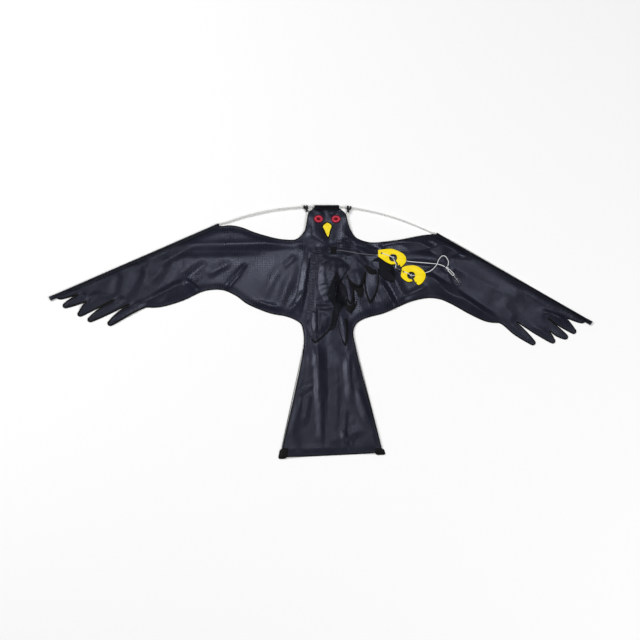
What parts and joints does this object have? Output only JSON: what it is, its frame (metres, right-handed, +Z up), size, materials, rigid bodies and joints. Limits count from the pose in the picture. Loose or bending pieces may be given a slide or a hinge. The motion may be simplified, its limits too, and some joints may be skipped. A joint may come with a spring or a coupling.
{
  "type": "bird scarer kite",
  "caption": "Hawk-shaped black ripstop kite lying belly up, with a bent fibreglass bow, crossed tail spars, feather flaps, a belly pouch and a corded bridle with line winders.",
  "frame": {"origin": "middle of the kite's box, on the floor that it lies on", "axes": "+X to the right as seen from above with the head away from the viewer, along the wing span; +Y towards the head; +Z up, out of the belly side"},
  "size_m": [1.4786, 0.7328, 0.0239],
  "materials": {
    "ripstop": "navy-black ripstop nylon with a faint sheen",
    "hem": "black doubled hem cloth, matt",
    "webbing": "black woven webbing, matt",
    "glass_fibre": "pale grey pultruded glass fibre, satin",
    "black_plastic": "moulded black plastic, satin",
    "yellow_plastic": "moulded yellow plastic, semi-gloss",
    "red_patch": "red sewn patch",
    "dark_red_patch": "dark red sewn patch",
    "yellow_patch": "yellow sewn patch",
    "cord": "white braided polyester cord",
    "steel": "dark nickelled steel, polished"
  },
  "bodies": {
    "kite": {"main_sail": "ripstop", "left_leading_edge_sleeve": "hem", "right_leading_edge_sleeve": "hem", "left_wing_tip_pocket": "hem", "right_wing_tip_pocket": "hem", "left_bow_spar": "glass_fibre", "right_bow_spar": "glass_fibre", "bow_ferrule": "steel", "head_sleeve": "hem", "left_t_connector": "black_plastic", "right_t_connector": "black_plastic", "left_tail_spar": "glass_fibre", "right_tail_spar": "glass_fibre", "left_tail_pocket": "hem", "right_tail_pocket": "hem", "left_tail_hem": "hem", "right_tail_hem": "hem", "left_eye_ring": "red_patch", "right_eye_ring": "red_patch", "left_pupil": "dark_red_patch", "right_pupil": "dark_red_patch", "beak": "yellow_patch", "side_seam": "ripstop", "belly_flap": "ripstop", "deep_feather": "ripstop", "tail_feather": "ripstop", "lower_breast_feather": "ripstop", "breast_feather": "ripstop", "under_breast_feather": "ripstop", "bright_feather": "ripstop", "shoulder_feather": "ripstop", "short_black_feather": "ripstop", "broad_feather": "ripstop", "belly_pouch": "ripstop", "pouch_hem": "hem", "line_tab": "webbing", "lower_winder": "yellow_plastic", "upper_hub_knot": "cord", "lower_hub_knot": "cord", "lower_lacing": "cord", "upper_bridle_leg": "cord", "lower_bridle_leg": "cord", "middle_bridle_link": "cord", "bridle_knot": "cord", "end_loop": "cord", "link_swivel_shank": "steel", "end_swivel_barrel": "steel"},
    "upper_winder": {"upper_winder": "yellow_plastic", "upper_lacing": "cord"},
    "link_swivel": {"link_swivel_barrel": "steel"},
    "snap": {"snap_hook": "steel"},
    "snap_gate": {"snap_gate": "steel"}
  },
  "joints": [
    {"name": "winder_turn", "type": "hinge", "parent": "kite", "child": "upper_winder", "pos_m": [0.19768, 0.21269, 0.0062], "axis": [0, 0, 1], "range_deg": [0, 45]},
    {"name": "link_swivel_spin", "type": "hinge", "parent": "kite", "child": "link_swivel", "pos_m": [0.20972, 0.18053, 0.0062], "axis": [-0.887, 0.4617, 0], "continuous": true},
    {"name": "snap_spin", "type": "hinge", "parent": "kite", "child": "snap", "pos_m": [0.36785, 0.15396, 0.00445], "axis": [0.4975, -0.8675, 0], "continuous": true},
    {"name": "snap_gate_hinge", "type": "hinge", "parent": "snap", "child": "snap_gate", "pos_m": [0.37131, 0.1505, 0.00585], "axis": [0, 0, 1], "range_deg": [-28, 0], "stiffness_Nm_per_rad": 0.002, "springref_deg": 5.73}
  ]
}
